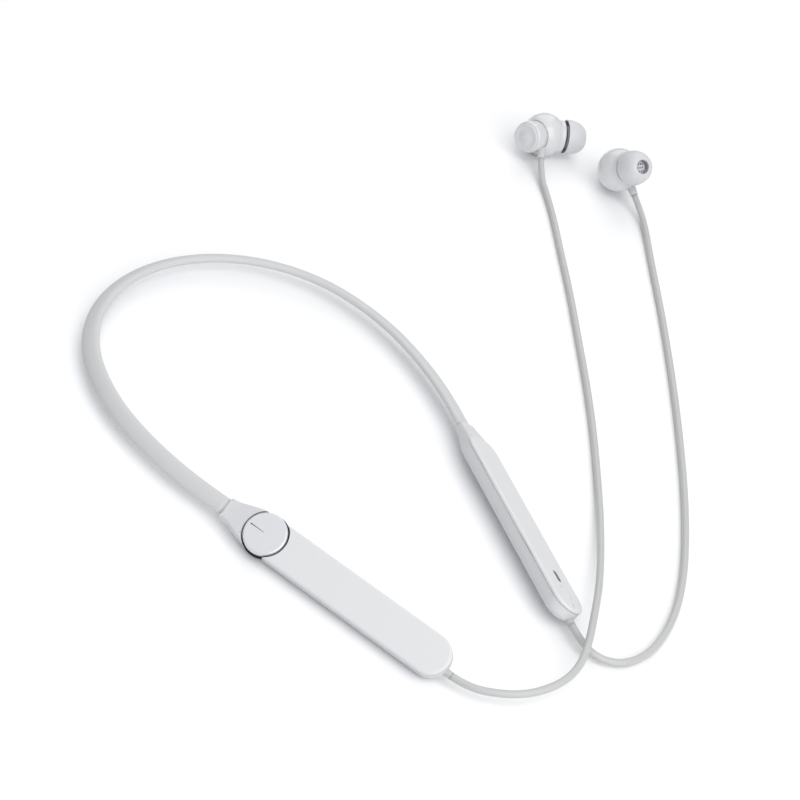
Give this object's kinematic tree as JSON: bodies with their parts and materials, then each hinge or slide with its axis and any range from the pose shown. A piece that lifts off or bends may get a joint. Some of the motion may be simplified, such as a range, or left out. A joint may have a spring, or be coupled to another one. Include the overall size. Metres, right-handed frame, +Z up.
{
  "type": "neckband earphones",
  "caption": "Wireless neckband earphones: a flexible band joins a control pod with a turning dial and a charging pod, each with a corded in-ear bud.",
  "frame": {"origin": "on the surface that the object lies on, under the middle of its box", "axes": "+Z up, +X from the back of the neckband towards the pods' free ends, +Y towards the buds"},
  "size_m": [0.2191, 0.2524, 0.0227],
  "materials": {
    "neckband_silicone": "fine matt silicone",
    "spring_steel": "drawn",
    "lead_insulation": "plain",
    "pod_back_plastic": "fine texture",
    "pod_cover_plastic": "fine matt",
    "dark_plastic": "matt",
    "inner_plastic": "plain",
    "dial_metal": "fine spun satin, polished rim",
    "mark_grey": "filled mark",
    "inner_metal": "plain",
    "circuit_board": "solder mask",
    "battery_foil": "foil",
    "grommet_rubber": "matt",
    "dark_window": "polished",
    "button_plastic": "matt",
    "lamp_lens": "clear",
    "cord_sleeve": "satin elastomer",
    "bud_gloss_plastic": "polished",
    "bud_cap_plastic": "satin",
    "mesh_metal": "woven",
    "dark_rubber": "matt",
    "tip_silicone": "smooth silicone"
  },
  "bodies": {
    "root": {"neckband_skin": "neckband_silicone", "memory_wire": "spring_steel", "neckband_leads": "lead_insulation", "charge_cord_grommet": "grommet_rubber", "charging_pod_shell": "pod_back_plastic", "charging_pod_cover": "pod_cover_plastic", "charge_port_shell": "inner_metal", "charge_port_tongue": "dark_plastic", "light_window": "dark_window", "button_switch": "inner_metal", "charge_board": "circuit_board", "charge_chip": "dark_plastic", "charge_battery": "battery_foil", "control_board": "circuit_board", "status_light": "lamp_lens", "dial_cord": "cord_sleeve", "charge_cord": "cord_sleeve", "dial_bud_rear_shell": "bud_gloss_plastic", "dial_bud_chamber": "bud_gloss_plastic", "dial_bud_magnet_cap": "bud_cap_plastic", "dial_bud_magnet": "inner_metal", "dial_bud_driver_magnet": "inner_metal", "dial_bud_driver_basket": "inner_metal", "dial_bud_diaphragm": "inner_plastic", "dial_bud_nozzle_mesh": "mesh_metal", "dial_bud_dark_ring": "dark_rubber", "dial_bud_sleeve": "grommet_rubber", "charge_bud_rear_shell": "bud_gloss_plastic", "charge_bud_chamber": "bud_gloss_plastic", "charge_bud_magnet_cap": "bud_cap_plastic", "charge_bud_magnet": "inner_metal", "charge_bud_driver_magnet": "inner_metal", "charge_bud_driver_basket": "inner_metal", "charge_bud_diaphragm": "inner_plastic", "charge_bud_nozzle_mesh": "mesh_metal", "charge_bud_dark_ring": "dark_rubber", "charge_bud_sleeve": "grommet_rubber"},
    "dial_arm": {"dial_pod_shell": "pod_back_plastic", "dial_pod_cover": "pod_cover_plastic", "dial_bezel": "dark_plastic", "dial_encoder": "dark_plastic", "dial_press_switch": "inner_metal", "sound_board": "circuit_board", "radio_chip": "dark_plastic", "sound_chip": "dark_plastic", "sound_battery": "battery_foil", "dial_cord_grommet": "grommet_rubber"},
    "dial_slider": {"dial_hub": "inner_plastic"},
    "dial": {"dial_knob": "dial_metal", "dial_mark": "mark_grey"},
    "power_button": {"power_button": "button_plastic"},
    "dial_bud_tip": {"dial_bud_tip": "tip_silicone"},
    "charge_bud_tip": {"charge_bud_tip": "tip_silicone"}
  },
  "joints": [
    {"name": "neckband_flex", "type": "hinge", "parent": "root", "child": "dial_arm", "pos_m": [-0.07904, -0.07156, 0.00485], "axis": [0, 0, 1], "range_deg": [-16, 8], "stiffness_Nm_per_rad": 0.12, "deforming": ["neckband_skin", "memory_wire", "neckband_leads", "dial_cord"]},
    {"name": "dial_press", "type": "slide", "parent": "dial_arm", "child": "dial_slider", "axis": [-0.1428, 0.4948, -0.8572], "range_m": [0, 0.0003], "stiffness_N_per_m": 4000},
    {"name": "dial_turn", "type": "hinge", "parent": "dial_slider", "child": "dial", "pos_m": [0.03648, -0.11334, 0.00691], "axis": [0.1428, -0.4948, 0.8572], "continuous": true},
    {"name": "button_press", "type": "slide", "parent": "root", "child": "power_button", "axis": [-0.1428, -0.4948, -0.8572], "range_m": [0, 0.0003], "stiffness_N_per_m": 3000},
    {"name": "dial_bud_tip_pull", "type": "slide", "parent": "root", "child": "dial_bud_tip", "axis": [0.4999, 0.8659, 0.017], "range_m": [0, 0.009]},
    {"name": "charge_bud_tip_pull", "type": "slide", "parent": "root", "child": "charge_bud_tip", "axis": [0.742, -0.16, 0.651], "range_m": [0, 0.009]}
  ]
}
